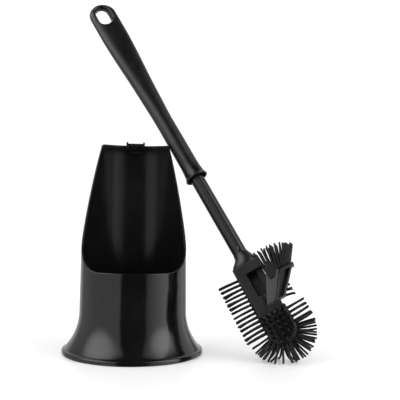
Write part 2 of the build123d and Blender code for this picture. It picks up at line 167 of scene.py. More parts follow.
class Shader:
    """A Principled material with short calls for the nodes that feed it."""

    def __init__(self, name, roughness, **constants):
        self.material = bpy.data.materials.new(name)
        self.material.use_nodes = True
        self.tree = self.material.node_tree
        self.surface = self.tree.nodes["Principled BSDF"]
        self.surface.inputs["Roughness"].default_value = roughness
        for socket, value in constants.items():
            self.surface.inputs[socket.replace("_", " ")].default_value = value
        self.place = self.node("ShaderNodeTexCoord").outputs["Object"]

    def node(self, kind, links=None, **settings):
        """A new node, its settings and values by name, with links into its sockets."""
        made = self.tree.nodes.new(kind)
        for key, value in settings.items():
            if hasattr(made, key):
                setattr(made, key, value)
            else:
                made.inputs[key.replace("_", " ")].default_value = value
        for socket, source in (links or {}).items():
            self.tree.links.new(source, made.inputs[socket])
        return made

    def noise(self, scale, detail=4.0, stretch=(1, 1, 1), turn=(0, 0, 0)):
        """Noise over the object, stretched along its own axes."""
        mapping = self.node("ShaderNodeMapping", {"Vector": self.place}, Scale=stretch, Rotation=turn)
        links = {"Vector": mapping.outputs["Vector"]}
        return self.node("ShaderNodeTexNoise", links, Scale=scale, Detail=detail).outputs["Fac"]

    def spread(self, value, low, high, from_low=0.3, from_high=0.7):
        """A value remapped from its usual range to another one."""
        made = self.node("ShaderNodeMapRange", {"Value": value})
        made.inputs["From Min"].default_value = from_low
        made.inputs["From Max"].default_value = from_high
        made.inputs["To Min"].default_value = low
        made.inputs["To Max"].default_value = high
        return made.outputs["Result"]

    def math(self, operation, first, second):
        """The result of one operation on two values, each a number or a node's output."""
        made = self.node("ShaderNodeMath", operation=operation)
        for index, value in enumerate((first, second)):
            if isinstance(value, (int, float)):
                made.inputs[index].default_value = value
            else:
                self.tree.links.new(value, made.inputs[index])
        return made.outputs["Value"]

    def blend(self, factor, first, second):
        """A colour between two, by a factor."""
        made = self.node("ShaderNodeMix", data_type="RGBA")
        self.tree.links.new(factor, made.inputs["Factor"])
        for index, value in ((6, first), (7, second)):
            if isinstance(value, tuple):
                made.inputs[index].default_value = (*value, 1.0)
            else:
                self.tree.links.new(value, made.inputs[index])
        return made.outputs[2]

    def bumps(self, *layers):
        """Bump layers (height, depth in metres), laid one on another."""
        normal = None
        for height, depth in layers:
            links = {"Height": height}
            if normal is not None:
                links["Normal"] = normal
            made = self.node("ShaderNodeBump", links, Strength=1.0, Distance=depth)
            normal = made.outputs["Normal"]
        self.tree.links.new(normal, self.surface.inputs["Normal"])

    def feed(self, socket, value):
        """Links a value into one of the surface's sockets."""
        self.tree.links.new(value, self.surface.inputs[socket])


def tone_dust_and_painted_edge_highlight(shader, dark, light, amount):
    """Base colour: a little cloudiness, a painted highlight that lightens the corners and bristle tips, and
    a scatter of dust specks.
    """
    cloud = shader.spread(shader.noise(35.0, 3.0), 0.0, 1.0)
    # Painted highlight: the sharpest corners and the bristle tips are lightened by their pointiness.
    edges = shader.node("ShaderNodeNewGeometry").outputs["Pointiness"]
    painted_edge_highlight = shader.spread(edges, 0.0, amount, 0.52, 0.62)
    dust = shader.spread(shader.noise(900.0, 2.0), 0.0, 0.5, 0.72, 0.82)
    factor = shader.math("ADD", shader.math("MULTIPLY", cloud, 0.35), shader.math("ADD", painted_edge_highlight, dust))
    shader.feed("Base Color", shader.blend(factor, dark, light))


def gloss_plastic(name, waviness, smooth=0.085, shine=0.5, body=0.0022):
    """Polished black polypropylene: sharp reflections that waver a little, fine wiping marks."""
    shader = Shader(name, 0.12, IOR=PLASTIC_IOR, Specular_IOR_Level=shine)
    tone_dust_and_painted_edge_highlight(shader, (body, body, body * 1.06), (body + 0.01, body + 0.01, body + 0.0104), 0.5)
    cloud = shader.noise(22.0, 5.0)
    wipes = shader.noise(240.0, 3.0, (1.0, 1.0, 0.06))
    clouded = shader.spread(cloud, smooth, smooth + 0.06)
    wiped = shader.spread(wipes, 0.0, 0.05, 0.45, 0.75)
    shader.feed("Roughness", shader.math("ADD", clouded, wiped))
    shader.bumps(
        (shader.noise(14.0, 1.0, (1.0, 1.0, 0.35)), waviness),
        (shader.noise(120.0, 3.0, (1.0, 1.0, 0.7)), waviness * 0.07),
        (shader.noise(900.0, 2.0), 0.0000022),
    )
    return shader.material


def polish_middle(material, half_width, fade, dull=0.09):
    """Polish that dulls away from the middle of the wall, where the mould's core was blasted."""
    tree = material.node_tree
    surface = tree.nodes["Principled BSDF"]
    parts = tree.nodes.new("ShaderNodeSeparateXYZ")
    tree.links.new(tree.nodes["Texture Coordinate"].outputs["Object"], parts.inputs["Vector"])
    away = tree.nodes.new("ShaderNodeMath")
    away.operation = "ABSOLUTE"
    tree.links.new(parts.outputs["X"], away.inputs[0])
    polish = tree.nodes.new("ShaderNodeMapRange")
    polish.interpolation_type = "SMOOTHSTEP"
    tree.links.new(away.outputs["Value"], polish.inputs["Value"])
    polish.inputs["From Min"].default_value = (half_width - fade) * MM
    polish.inputs["From Max"].default_value = (half_width + fade) * MM
    polish.inputs["To Min"].default_value = surface.inputs["Specular IOR Level"].default_value
    polish.inputs["To Max"].default_value = dull
    tree.links.new(polish.outputs["Result"], surface.inputs["Specular IOR Level"])


def satin_plastic(name, roughness, dark, light, along):
    """Moulded plastic with a fine spark-eroded grain and faint flow lines along the piece."""
    shader = Shader(name, roughness, IOR=PLASTIC_IOR, Specular_IOR_Level=0.5)
    tone_dust_and_painted_edge_highlight(shader, dark, light, 0.6)
    grain = shader.noise(2600.0, 2.0)
    flow = shader.noise(160.0, 3.0, (1.0, 1.0, 0.08), along)
    cloud = shader.noise(45.0, 4.0)
    clouded = shader.spread(cloud, roughness - 0.05, roughness + 0.07)
    shader.feed("Roughness", shader.math("ADD", clouded, shader.spread(flow, -0.03, 0.05)))
    shader.bumps((flow, 0.00003), (grain, 0.000012))
    return shader.material


def rubber(name):
    """Soft black rubber: silky, with mould texture, paler cloudy patches and a painted highlight on the
    bristle tips.
    """
    sheen = {"Sheen_Weight": 0.02, "Sheen_Roughness": 0.5}
    shader = Shader(name, 0.4, IOR=1.45, Specular_IOR_Level=0.38, **sheen)
    tone_dust_and_painted_edge_highlight(shader, (0.0024, 0.0024, 0.0026), (0.015, 0.015, 0.0155), 0.35)
    cloud = shader.noise(120.0, 4.0)
    shader.feed("Roughness", shader.spread(cloud, 0.3, 0.46))
    shader.bumps((shader.noise(1800.0, 3.0), 0.00002))
    return shader.material


along_brush = tuple(axis_up.to_track_quat("Z", "Y").inverted().to_euler())
holder_black = gloss_plastic("holder_black", 0.0010)
holder_inside = gloss_plastic("holder_inside", 0.0003, smooth=0.16, shine=0.28, body=0.0048)
polish_middle(holder_inside, half_width=20.5, fade=3.0)
fork_black = gloss_plastic("fork_black", 0.0001)
grip_black = satin_plastic("grip_black", 0.27, (0.003, 0.003, 0.0032), (0.016, 0.016, 0.017), along_brush)
stem_black = satin_plastic("stem_black", 0.25, (0.0035, 0.0035, 0.0037), (0.018, 0.018, 0.019), along_brush)
head_black = satin_plastic("head_black", 0.29, (0.0045, 0.0045, 0.0048), (0.024, 0.024, 0.025), along_brush)
bristle_black = rubber("bristle_black")


def finish(piece, material, body, slot, *nodes):
    """Gives a piece its material and the body it rides on, and hides the CAD nodes it stands for; the slot
    argument is not used.
    """
    piece.data.materials.clear()
    piece.data.materials.append(material)
    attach(piece, body)
    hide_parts(*nodes)
    return piece


# ---- holder shell ------------------------------------------------------------------------------
HEIGHT = 192.7
FOOT_R, WAIST_R, TOP_R = 64.3, 48.8, 46.4
WAIST_Z, FLARE = 38.5, 49.5
WALL = 2.2
# The foot's lip from the floor up: how far inside the foot's radius it lies, and its height.
LIP = (
    (2.8, 0.0), (1.6, 0.0), (0.7, 0.12), (0.2, 0.5), (0.0, 1.1), (0.0, 2.2), (0.08, 3.0),
    (0.32, 3.7), (0.75, 4.25), (1.35, 4.6), (1.9, 4.72), (2.25, 4.86),
)
CREASE_TOP = 5.15
# The scooped rim seen from the side: its height at distances from the axis, front to back.
SCOOP_Y = np.array([-38.0, -24.7, -12.0, 0.0, 12.7, 24.1, 32.3])
SCOOP_Z = np.array([76.0, 79.6, 88.5, 100.6, 122.5, 156.6, 188.9])
SCOOP_TOP_SLOPE = 4.0
CORNER_RUN, CORNER_RISE = 2.6, 3.8
RIM = 0.75
RIM_GUESS = 120.0
STEEPEST_RIM = 8
# The rim's roll, from the outside over the top to the inside, in degrees.
RIM_ROLL = np.arange(15, 181, 15)


def scoop(y):
    """Height of the scooped rim, seen from the side, at distance y from the axis."""
    slopes = np.gradient(SCOOP_Z, SCOOP_Y)
    slopes[0], slopes[-1] = 0.0, SCOOP_TOP_SLOPE
    rise = curve_through(y, SCOOP_Y, SCOOP_Z, slopes)
    corner = np.clip((y - SCOOP_Y[-1]) / CORNER_RUN, 0, 1)
    return rise + np.where(y > SCOOP_Y[-1], CORNER_RISE * np.sqrt(1 - (1 - corner) ** 2), 0)


def wall_radius(z):
    """Outer radius of the wall above the waist."""
    return WAIST_R - (z - WAIST_Z) / (HEIGHT - WAIST_Z) * (WAIST_R - TOP_R)


def bell_radius(z, arc):
    """Radius of the bell at height z, below the waist, where its flare has the given arc."""
    return WAIST_R + FLARE - np.sqrt(arc**2 - (WAIST_Z - z) ** 2)


def shell_angles():
    """Directions round the shell, closest together where the rim turns its two top corners."""
    turn = np.radians(np.arange(0, 360, 0.25))
    y = wall_radius(np.full_like(turn, 150.0)) * np.sin(turn)
    near = (np.abs(y - SCOOP_Y[-1] - CORNER_RUN / 2) < 6) | (np.arange(len(turn)) % 4 == 0)
    return turn[near]


def rolled_lip():
    """Outer profile of the foot, from the floor up over the lip and its crease to the waist."""
    flare_z = CREASE_TOP + (WAIST_Z - CREASE_TOP) * np.linspace(0, 1, 34) ** 1.15
    return [(FOOT_R - inset, z) for inset, z in LIP] + [(bell_radius(z, FLARE), z) for z in flare_z]


def holder_shell():
    """The shell as one skin: up the outside, over the rounded rim and down the inside."""
    turn = shell_angles()
    columns = len(turn)
    # The rim's height and the wall's radius there depend on each other, so they are found in rounds.
    edge = np.full(columns, RIM_GUESS)
    for _ in range(40):
        edge = 0.5 * edge + 0.5 * scoop(wall_radius(edge) * np.sin(turn))
    edge = np.minimum(edge, HEIGHT)
    arc = wall_radius(edge) * turn
    before = arc[-3:] - 2 * math.pi * wall_radius(edge[-3:])
    after = arc[:3] + 2 * math.pi * wall_radius(edge[:3])
    closed_edge = np.concatenate([edge[-3:], edge, edge[:3]])
    slope = np.gradient(closed_edge, np.concatenate([before, arc, after]))[3:-3]
    slope = np.clip(slope, -STEEPEST_RIM, STEEPEST_RIM)
    inward = np.stack([slope, -np.ones(columns)], 1) / np.sqrt(1 + slope**2)[:, None]
    rows = []

    def ring(radius, angle, z):
        """One more row of the skin."""
        rows.append(np.stack([radius * np.cos(angle), radius * np.sin(angle), z], 1))

    for radius, z in rolled_lip():
        ring(np.full(columns, radius), turn, np.full(columns, z))
    steps = 1 - (1 - np.linspace(0, 1, 46)[1:]) ** 1.25
    base_angle = turn + inward[:, 0] * RIM / wall_radius(edge)
    base_z = edge + inward[:, 1] * RIM
    for step in steps:
        z = WAIST_Z + (base_z - WAIST_Z) * step
        ring(wall_radius(z), turn + (base_angle - turn) * step, z)
    for lean in np.radians(RIM_ROLL):
        outward = RIM * math.sin(lean)
        across = WALL / 2 * (1 - math.cos(lean))
        angle = base_angle - inward[:, 0] * outward / wall_radius(edge)
        ring(wall_radius(edge) - across, angle, base_z - inward[:, 1] * outward)
    for step in steps[::-1][1:]:
        z = WAIST_Z + (base_z - WAIST_Z) * step
        ring(wall_radius(z) - WALL, turn + (base_angle - turn) * step, z)
    inner_foot = FOOT_R - LIP[0][0]
    low = WAIST_Z - math.sqrt((FLARE + WALL) ** 2 - (WAIST_R + FLARE - inner_foot) ** 2)
    for z in np.linspace(WAIST_Z, low, 26):
        ring(np.full(columns, bell_radius(z, FLARE + WALL)), turn, np.full(columns, z))
    points = np.concatenate(rows)
    faces = tube_faces(len(rows), columns)
    last = (len(rows) - 1) * columns
    faces += [(last + i, last + (i + 1) % columns, (i + 1) % columns, i) for i in range(columns)]
    return new_piece("shell", points, faces)


shell = finish(holder_shell(), holder_black, "holder", "holder_gloss", "holder_shell")
shell.data.materials.append(holder_inside)
for face in shell.data.polygons:
    centre = face.center / MM
    within = math.hypot(centre.x, centre.y) < wall_radius(max(centre.z, WAIST_Z)) - WALL * 0.75
    face.material_index = int(within and centre.z > WAIST_Z)

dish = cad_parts["base_dish"]
dish.data.materials.clear()
dish.data.materials.append(fork_black)

fork = copy_of("stem_fork", "fork")
round_edges(fork, voxel=0.22, steps=3)
finish(fork, fork_black, "holder", "fork_gloss", "stem_fork")


# ---- grip --------------------------------------------------------------------------------------
# Its sections: height along the brush, half width and half depth.
GRIP_SECTIONS = (
    (163.4, 11.05, 11.05),
    (164.2, 11.1, 11.1),
    (166.5, 10.0, 9.9),
    (170.0, 9.5, 9.1),
    (175.5, 9.0, 8.5),
    (184.5, 8.85, 8.2),
    (208.5, 8.85, 8.0),
    (233.5, 8.8, 7.6),
    (259.5, 9.7, 7.2),
    (283.5, 10.7, 6.9),
    (315.5, 12.55, 6.4),
    (341.5, 13.8, 5.8),
    (369.5, 14.0, 5.2),
    (378.7, 14.0, 5.0),
)
GRIP_H, GRIP_W, GRIP_D = np.array(GRIP_SECTIONS).T
GRIP_TOP = 391.3
# The sections are ellipses below the first height and squarest above the second.
SQUARE_LOW, SQUARE_HIGH, SQUARE_MORE = 230.0, 330.0, 0.7
HOLE_LOW, HOLE_HIGH, HOLE_WIDTH = 365.0, 387.0, 13.0
HOLE_FRONT_FLARE, HOLE_BACK_FLARE, HOLE_REACH = 3.0, 0.9, 5.3
SKIRT_LOW, SKIRT_WALL = 163.4, 1.2
STEM_SHOULDER, PLUG_TOP = 174.0, 208.0
STEM_R, PLUG_R = 6.7, 5.0
STEM_GAP, PLUG_GAP, SHOULDER_GAP = 0.35, 0.15, 0.2
GRIP_COLUMNS = 96


def grip_ring(half_width, half_depth, height, power=2):
    """One section across the grip's axis."""
    outline = rounded_oblong(half_width, half_depth, power, GRIP_COLUMNS)
    return np.column_stack([outline, np.full(GRIP_COLUMNS, height)])


def grip_body():
    """The grip from the bore's blind end down through the skirt's mouth, then up to its top."""
    cap_start = GRIP_TOP - GRIP_W[-1]
    rings = []
    for radius, height in (
        (PLUG_R + PLUG_GAP, PLUG_TOP + 1.2),
        (PLUG_R + PLUG_GAP, STEM_SHOULDER + SHOULDER_GAP),
        (STEM_R + STEM_GAP, STEM_SHOULDER + SHOULDER_GAP),
        (STEM_R + STEM_GAP, STEM_SHOULDER - 1.0),
        (STEM_R + 1.9, SKIRT_LOW + 5.0),
        (GRIP_W[0] - SKIRT_WALL, SKIRT_LOW),
    ):
        rings.append(grip_ring(radius, radius, height))
    skirt_heights = np.linspace(SKIRT_LOW, SKIRT_LOW + 12, 25)
    body_heights = np.linspace(SKIRT_LOW + 14, cap_start, 90)
    width_slopes = np.gradient(GRIP_W, GRIP_H)
    depth_slopes = np.gradient(GRIP_D, GRIP_H)
    for height in np.concatenate([skirt_heights, body_heights]):
        power = 2 + SQUARE_MORE * smooth_step(SQUARE_LOW, SQUARE_HIGH, height)
        width = curve_through(height, GRIP_H, GRIP_W, width_slopes)
        depth = curve_through(height, GRIP_H, GRIP_D, depth_slopes)
        rings.append(grip_ring(width, depth, height, power))
    for lean in np.radians(np.linspace(4, 88, 26)):
        width = GRIP_W[-1] * math.cos(lean)
        depth = GRIP_D[-1] * math.cos(lean) ** 0.75
        height = cap_start + GRIP_W[-1] * math.sin(lean)
        rings.append(grip_ring(width, depth, height, 2 + SQUARE_MORE - 0.6 * lean))
    points = placed(np.concatenate(rings), GRIP)
    return new_piece("grip_body", points, capped_tube(len(rings), GRIP_COLUMNS))


def hole_cutter():
    """What the hanging hole takes away: an oval from back to front, flaring towards both faces."""
    columns = 72
    half_w = HOLE_WIDTH / 2
    straight = (HOLE_HIGH - HOLE_LOW) / 2 - half_w
    turn = np.linspace(0, 2 * math.pi, columns, endpoint=False)
    rings = []
    for depth in np.linspace(HOLE_REACH, -HOLE_REACH, 25):
        grow = HOLE_FRONT_FLARE * smooth_step(0.5, -HOLE_REACH, depth) ** 1.5
        grow += HOLE_BACK_FLARE * smooth_step(3.6, HOLE_REACH, depth) ** 2
        x = (half_w + grow) * np.cos(turn)
        z = (half_w + grow) * np.sin(turn) + straight * np.clip(np.sin(turn) * 3.0, -1, 1)
        rings.append(np.stack([x, np.full(columns, depth), z + (HOLE_LOW + HOLE_HIGH) / 2], 1))
    beyond = np.array([0, 6, 0])
    rings = [rings[0] + beyond, *rings, rings[-1] - beyond]
    points = placed(np.concatenate(rings), GRIP)
    return new_piece("hole_cutter", points, capped_tube(len(rings), columns))


def cut(piece, cutter):
    """Takes the cutter's shape out of the piece."""
    away = piece.modifiers.new("cut", "BOOLEAN")
    away.operation = "DIFFERENCE"
    away.solver = "EXACT"
    away.object = cutter
    bake_modifiers(piece)
    bpy.data.objects.remove(cutter)


grip = grip_body()
cut(grip, hole_cutter())
round_edges(grip, voxel=0.45, steps=5)
grip.name = "grip_moulding"
finish(grip, grip_black, "handle", "grip_satin", "grip")


# ---- stem --------------------------------------------------------------------------------------
STEM_LOW, NECK_TOP = 58.0, 79.5
GROOVE_DEPTH, GROOVE_HALF_ANGLE = 1.15, 0.17
PLUG_CHAMFER = 0.8


def stem_body():
    """The shaft, with a groove along its front and one along its back, and the plug on its top."""
    columns = 96
    turn = np.linspace(0, 2 * math.pi, columns, endpoint=False)
    off_groove = turn % math.pi - math.pi / 2
    groove = GROOVE_DEPTH * np.exp(-((off_groove / GROOVE_HALF_ANGLE) ** 4))
    rings = []

    def ring(radius, height):
        """One more row of the shaft."""
        rings.append(np.stack([radius * np.cos(turn), radius * np.sin(turn), np.full(columns, height)], 1))

    grooved = np.linspace(NECK_TOP - 2, STEM_SHOULDER - 12, 110)
    for height in (STEM_LOW, STEM_LOW + 6, *grooved, STEM_SHOULDER - 6, STEM_SHOULDER):
        above = smooth_step(NECK_TOP + 1.0, NECK_TOP + 4.5, height)
        below = 1 - smooth_step(STEM_SHOULDER - 13, STEM_SHOULDER - 9, height)
        ring(STEM_R - groove * above * below, height)
    ring(PLUG_R, STEM_SHOULDER)
    ring(PLUG_R, PLUG_TOP - PLUG_CHAMFER)
    ring(PLUG_R - PLUG_CHAMFER, PLUG_TOP)
    return new_piece("stem_shaft", placed(np.concatenate(rings)), capped_tube(len(rings), columns))


finish(stem_body(), stem_black, "head", "stem_satin", "stem")


# ---- head: the hard mouldings ------------------------------------------------------------------
# The rim arm's top edge falls by ARM_TILT; beyond ARM_BEND it is lifted and drawn out.
ARM_TILT = math.tan(math.radians(7.0))
ARM_BEND, ARM_RISE, ARM_WIDEN = 20.0, 0.2, 0.13
RAIL_OUT, RAIL_SWELL = 8.2, 2.3
SHOULDER_SWELL = 1.7


def shape_moulding(piece, move):
    """Moves the points of a piece, given and answered in brush coordinates."""
    mesh = piece.data
    flat = np.empty(len(mesh.vertices) * 3)
    mesh.vertices.foreach_get("co", flat)
    local = (flat.reshape(-1, 3) / MM - np.array(HEAD_AT)) @ BRUSH.T
    mesh.vertices.foreach_set("co", (placed(move(local)) * MM).ravel())
    mesh.update()


def raise_arm(local):
    """Lifts the outer end of the arm's top edge and draws it out."""
    outer = np.maximum(local[:, 0] - ARM_BEND, 0)
    high = smooth_step(24, 42, local[:, 2])
    local[:, 2] += outer * ARM_RISE * high
    local[:, 0] += outer * ARM_WIDEN * high
    return local


def swell_shoulder(local):
    """Fills out the head's left shoulder, below the neck."""
    along = smooth_step(46, 58, local[:, 2]) * (1 - smooth_step(67, 74, local[:, 2]))
    local[:, 0] -= SHOULDER_SWELL * along * smooth_step(4, 11, -local[:, 0])
    return local


def swell_rail(local):
    """Fills out the left shoulder, and the right rail between the block and the neck."""
    local = swell_shoulder(local)
    along = smooth_step(24, 30, local[:, 2]) * (1 - smooth_step(58, 65, local[:, 2]))
    local[:, 0] += RAIL_SWELL * along * smooth_step(RAIL_OUT - 2.5, RAIL_OUT - 0.2, local[:, 0])
    return local


for node, name, voxel, steps, move in (
    ("neck_cap", "neck_dome", 0.3, 6, swell_shoulder),
    ("head_core", "head_frame", 0.36, 5, swell_rail),
    ("rim_arm", "rim_wedge", 0.3, 5, raise_arm),
):
    moulding = copy_of(node, name)
    round_edges(moulding, voxel, steps)
    shape_moulding(moulding, move)
    finish(moulding, head_black, "head", "head_plastic", node)

# ---- bristles ----------------------------------------------------------------------------------
# The core: its round end, its left shoulder, the top of its edge and of its block.
END_R, END_X = 12.3, -1.8
SHOULDER_LEFT, CORE_TOP, BLOCK_TOP = 12.4, 65.8, 22.8
# The bristles stand in rows up the head, three lanes deep; SINK of each is in its strip.
LENGTH, PITCH, LANE, FIRST_ROW = 18.0, 4.28, 4.8, 2.6
ROOT_R, TIP_R, STRIP, SINK = 1.1, 0.93, 1.5, 0.6
LANES = (-1, 0, 1)
LEFT_ROWS, EDGE_ROWS, SPOKES = 14, 4, 12
# Half the depth of the strips on the edges, and where the pads on the two faces lie.
PAD_DEPTH = 8.0
FACE_LOW, FACE_ROOT, FACE_HIGH = 8.9, 9.6, 10.2
SIDES, SEGMENTS = 10, 9
ROOT_FILLET = 1.35
TIP_LEANS = (0.5, 0.95, 1.3)
BEND_STEP, BEND_LIMIT, FLOOR_GAP = 0.04, 1.7, 0.05


def bent_path(start, way, length, sway):
    """A bristle's line: it leaves along way and curves by sway.

    One that would pass through the floor curves more.
    """
    start, way = placed([start])[0], np.asarray(way, float) @ BRUSH
    way /= np.linalg.norm(way)
    sway = np.asarray(sway, float) @ BRUSH
    sway -= way * (sway @ way)
    amount = np.linalg.norm(sway)
    sway /= max(amount, 1e-9)

    def line(total):
        """The line for a bend of total radians."""
        turn = total * (np.arange(SEGMENTS + 1) / SEGMENTS) ** 1.3
        step = length / SEGMENTS
        heading = np.cos(turn)[:, None] * way + np.sin(turn)[:, None] * sway
        return start + np.concatenate([[np.zeros(3)], np.cumsum((heading[1:] + heading[:-1]) / 2 * step, 0)])

    total = amount
    while line(total)[:, 2].min() < TIP_R + 2 * FLOOR_GAP and total < BEND_LIMIT:
        total += BEND_STEP
    path = line(total)
    path[:, 2] = np.maximum(path[:, 2], TIP_R + FLOOR_GAP)
    return path


def bristle(path, root_radius, tip_radius):
    """Rings of one bristle along its path, with a small fillet at its root and a round tip."""
    along = np.gradient(path, axis=0)
    along /= np.linalg.norm(along, axis=1)[:, None]
    guide = np.cross(along, [0.3, 0.5, 0.81])
    guide /= np.linalg.norm(guide, axis=1)[:, None]
    other = np.cross(along, guide)
    share = np.linspace(0, 1, len(path))
    radius = root_radius + (tip_radius - root_radius) * share
    radius[0] *= ROOT_FILLET
    turn = np.linspace(0, 2 * math.pi, SIDES, endpoint=False)
    circle = np.cos(turn)[:, None, None] * guide + np.sin(turn)[:, None, None] * other
    rings = [path[i] + circle[:, i] * radius[i] for i in range(len(path))]
    for lean in TIP_LEANS:
        centre = path[-1] + along[-1] * tip_radius * math.sin(lean)
        rings.append(centre + circle[:, -1] * tip_radius * math.cos(lean))
    return np.concatenate(rings)


def brush_strip(name, node, stand, length, pad, thickness=1.0, loose_by=0.05):
    """One soft strip: its pad and all its bristles, which are not quite equal in length or line."""
    points, faces = [], []
    ring_count = SEGMENTS + 1 + len(TIP_LEANS)
    for start, way, sway in stand:
        at = sum(map(len, points))
        full = length(start) if callable(length) else length
        grown = full * chance.uniform(0.965, 1.0)
        loose = np.array([chance.gauss(0, loose_by) for _ in range(3)])
        path = bent_path(start, way, grown, np.asarray(sway) + loose)
        points.append(bristle(path, ROOT_R * thickness, TIP_R * thickness))
        faces += capped_tube(ring_count, SIDES, at)
    bristles = new_piece(name + "_bristles", np.concatenate(points), faces)
    piece = join(name, [pad, bristles])
    finish(piece, bristle_black, "head", "bristle_rubber", node)


def slab(outline, low, high, flat=(0, 2), across=1):
    """A rounded pad: an outline in two of the brush's directions, thick in the third."""
    outline = np.asarray(outline, float)
    centre = outline.mean(0)
    rings = []
    middle, half = (low + high) / 2, (high - low) / 2
    for shrink, level in ((0.94, -1), (0.985, -0.8), (1, -0.4), (1, 0.4), (0.985, 0.8), (0.94, 1)):
        ring = np.zeros((len(outline), 3))
        ring[:, flat] = centre + (outline - centre) * shrink
        ring[:, across] = middle + half * level
        rings.append(ring)
    return new_piece("pad", placed(np.concatenate(rings)), capped_tube(len(rings), len(outline)))


edge_angle = math.atan2(END_R - END_X - SHOULDER_LEFT, CORE_TOP)
edge_out = (-math.cos(edge_angle), 0, math.sin(edge_angle))
root_depth = STRIP - SINK


def row_height(row, lane):
    """Height of a bristle on the head's edge; the lanes are staggered."""
    return FIRST_ROW + (row + 0.25 * lane) * PITCH


def left_stand():
    """Roots, directions and sways of the bristles on the left edge, which slants."""
    stand = []
    for row in range(LEFT_ROWS):
        for lane in LANES:
            rise = 0.953 * row_height(row, lane) + 1.1
            x = END_X - END_R + rise * math.sin(edge_angle) + root_depth * edge_out[0]
            z = rise * math.cos(edge_angle) + root_depth * edge_out[2]
            lift = math.radians(6.0) * (row + 0.25 * lane) / (LEFT_ROWS - 1)
            way = (edge_out[0], 0.04 * lane, edge_out[2] + math.sin(lift))
            stand.append(((x, lane * LANE, z), way, (0.0, 0.05 * lane, -0.1)))
    return stand


def side_pad(x_low, x_high, z_high):
    """A flat strip on the head's edge."""
    z_low = 0.5
    corners = [(-PAD_DEPTH, z_low), (-PAD_DEPTH, z_high), (PAD_DEPTH, z_high), (PAD_DEPTH, z_low)]
    return slab(corners, x_low, x_high, flat=(1, 2), across=0)


def slant(local):
    """Leans the left strip's pad along the head's left edge."""
    local[:, 0] += local[:, 2] * math.tan(edge_angle)
    return local


left_x = END_X - END_R
left_pad = side_pad(left_x - STRIP, left_x + 0.2, FIRST_ROW + (LEFT_ROWS - 0.5) * PITCH)
shape_moulding(left_pad, slant)
brush_strip("left_strip", "left_bristles", left_stand(), LENGTH + 1.3, left_pad, thickness=1.16)

right_x = END_X + END_R
right_pad = side_pad(right_x - 0.2, right_x + STRIP, FIRST_ROW + (EDGE_ROWS - 0.5) * PITCH)
right_stand = []
for row in range(EDGE_ROWS):
    for lane in LANES:
        start = (right_x + root_depth, lane * LANE, row_height(row, lane) - 1.5)
        right_stand.append((start, (1, 0, 0.02), (0, 0.05 * lane, -0.04)))
brush_strip("right_strip", "right_bristles", right_stand, LENGTH - 1.0, right_pad)

# The rail's strip has two lanes, on the back half of the rail.
RAIL_MIDDLE, RAIL_LANE = 5.0, 1.9
rail_low, rail_high = BLOCK_TOP + 0.8, BLOCK_TOP + 17.4
rail_outline = [(1.6, rail_low), (1.6, rail_high), (8.4, rail_high), (8.4, rail_low)]
rail_pad = slab(rail_outline, RAIL_OUT - 0.1, RAIL_OUT + STRIP, flat=(1, 2), across=0)
rail_stand = []
for row in range(EDGE_ROWS):
    for lane in (-RAIL_LANE, RAIL_LANE):
        start = (RAIL_OUT + root_depth, RAIL_MIDDLE + lane, BLOCK_TOP + 0.6 + (row + 0.5) * PITCH)
        rail_stand.append((start, (1, 0, 0), (0, 0, -0.35)))
brush_strip("rail_strip", "rail_bristles", rail_stand, LENGTH - 2, rail_pad, thickness=0.8)


def arc_outline(radius, angles):
    """Points of an arc about the middle of the core's round end."""
    return [(END_X + radius * math.cos(a), radius * math.sin(a)) for a in angles]


# The spokes fan out round the core's lower end from left to right, in degrees. Their outer lanes
# are staggered, one way up to SPOKE_TURNED and the other way after it, and a little unevenly.
SPOKE_START, SPOKE_STEP, SPOKE_TURNED = 11.0, 14.4, 7
SPOKE_STAGGER, SPOKE_CHANCE = 0.33, 0.12
end_stand = []
for spoke in range(SPOKES):
    for lane in LANES:
        stagger = SPOKE_STAGGER * lane * (1 if spoke < SPOKE_TURNED else -1)
        stagger += chance.uniform(-SPOKE_CHANCE, SPOKE_CHANCE)
        turn = math.radians(SPOKE_START + (spoke + stagger) * SPOKE_STEP)
        way = np.array([-math.cos(turn), 0.05 * lane, -math.sin(turn)])
        start = (END_X + (END_R + root_depth) * way[0], lane * LANE, (END_R + root_depth) * way[2])
        end_stand.append((start, way, (-0.12 * math.cos(turn), 0.16 * lane, 0.0)))
fan = np.radians(np.linspace(180, 360, 41))
end_outline = arc_outline(END_R + STRIP, fan) + arc_outline(END_R - 0.3, fan[::-1])
end_pad = slab(end_outline, -PAD_DEPTH, PAD_DEPTH)
brush_strip("end_strip", "end_bristles", end_stand, LENGTH - 0.7, end_pad, loose_by=0.09)

FACE_R, BLOCK_HIGH, BLOCK_BEVEL = END_R - 0.4, 15.5, 2.0
front_stand = []
for column in range(-2, 3):
    for row in range(-2, 4):
        dx, z = 4.5 * column + 0.6 * math.sin(2.0 * row), 4.3 * row
        if z > 0 or math.hypot(dx, z) < END_R - 1.5:
            way = (0.026 * dx, -1, 0.022 * (z - 3))
            front_stand.append(((END_X + dx, -FACE_ROOT, z), way, (0.01 * dx, 0, 0.01 * z)))
front_outline = arc_outline(FACE_R, np.radians(np.linspace(180, 360, 33)))
front_outline += [
    (END_X + FACE_R, BLOCK_HIGH - BLOCK_BEVEL),
    (END_X + FACE_R - BLOCK_BEVEL, BLOCK_HIGH),
    (END_X - FACE_R + BLOCK_BEVEL, BLOCK_HIGH),
    (END_X - FACE_R, BLOCK_HIGH - BLOCK_BEVEL),
]
front_pad = slab(front_outline, -FACE_HIGH, -FACE_LOW)
brush_strip("front_pad", "front_bristles", front_stand, 10.2, front_pad, thickness=1.1, loose_by=0.03)

